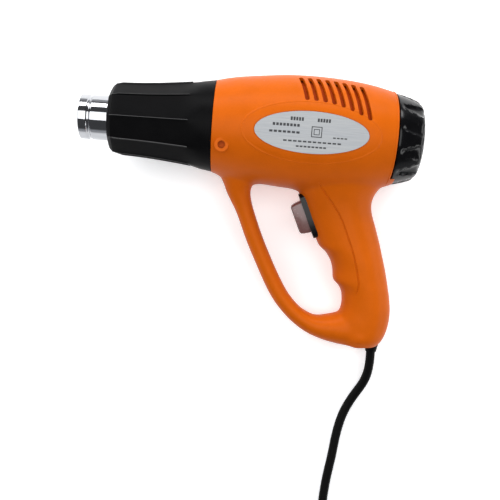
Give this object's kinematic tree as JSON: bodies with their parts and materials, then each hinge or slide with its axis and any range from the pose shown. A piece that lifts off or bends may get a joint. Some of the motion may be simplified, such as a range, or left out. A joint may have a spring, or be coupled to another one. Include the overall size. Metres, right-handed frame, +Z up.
{
  "type": "heat gun",
  "caption": "Corded hot-air gun with a closed D handle, finger rocker switch, steel outlet tube and vented two-shell housing, lying on its side with its cord coiled.",
  "frame": {"origin": "centre of the resting gun's footprint box without its cord, on the surface it lies on", "axes": "+X along the barrel towards the rear, +Y towards the gun's top, +Z up from the surface, so the gun's left side faces up"},
  "size_m": [0.248, 0.4312, 0.081],
  "materials": {
    "orange_abs": "moulded, semi-gloss",
    "black_nylon": "moulded, satin",
    "black_gloss": "moulded, gloss",
    "plated_steel": "bright",
    "label_foil": "brushed foil",
    "smoke_plastic": "smoky, translucent look",
    "mica": "satin mineral sheet",
    "resistance_wire": "oxidised",
    "sheet_steel": "zinc plated",
    "ceramic_fibre": "matt",
    "duct_plastic": "moulded",
    "magnet": "ground",
    "bronze": "plain",
    "carbon": "pressed",
    "steel": "turned",
    "board": "laminate",
    "components": "moulded",
    "wire": "insulation",
    "cord_rubber": "matt",
    "tie_strap": "woven"
  },
  "bodies": {
    "gun": {"housing_left": "orange_abs", "housing_right": "orange_abs", "heat_shroud": "black_nylon", "rear_cap": "black_gloss", "switch_bezel": "black_gloss", "nozzle_tube": "plated_steel", "outlet_guard": "plated_steel", "rating_label": "label_foil", "mica_sleeve": "mica", "mica_board_upright": "mica", "mica_board_level": "mica", "mica_disc_front": "mica", "mica_disc_rear": "mica", "heating_coil": "resistance_wire", "heat_shield": "sheet_steel", "motor_can": "sheet_steel", "shroud_spacer": "ceramic_fibre", "seal_ring": "ceramic_fibre", "air_duct": "duct_plastic", "motor_end_bell": "duct_plastic", "cord_clamp": "duct_plastic", "switch_body": "duct_plastic", "motor_magnets": "magnet", "motor_bearing_front": "bronze", "motor_bearing_rear": "bronze", "switch_terminals": "bronze", "plug_blades": "bronze", "motor_brushes": "carbon", "housing_screws": "steel", "shroud_screws": "steel", "clamp_screws": "steel", "switch_pin": "steel", "thermal_cutout": "steel", "rectifier_board": "board", "rectifier_diodes": "components", "capacitor": "components", "thermal_fuse": "components", "motor_leads": "wire", "supply_wires": "wire", "strain_relief": "cord_rubber", "cord_inner_end": "cord_rubber", "power_cord": "cord_rubber", "cord_coil": "cord_rubber", "cord_tail": "cord_rubber", "plug_body": "cord_rubber", "coil_tie": "tie_strap"},
    "fan": {"fan_impeller": "duct_plastic", "motor_shaft": "steel", "armature_core": "steel", "armature_windings": "bronze", "commutator": "bronze"},
    "rocker": {"switch_rocker": "smoke_plastic"}
  },
  "joints": [
    {"name": "fan_spin", "type": "hinge", "parent": "gun", "child": "fan", "pos_m": [-0.026, 0.05977, 0.04041], "axis": [1, 0, 0], "continuous": true},
    {"name": "rocker_tilt", "type": "hinge", "parent": "gun", "child": "rocker", "pos_m": [0.05022, 0.00071, 0.03116], "axis": [0, 0.1547, -0.988], "range_deg": [-10, 10]}
  ]
}
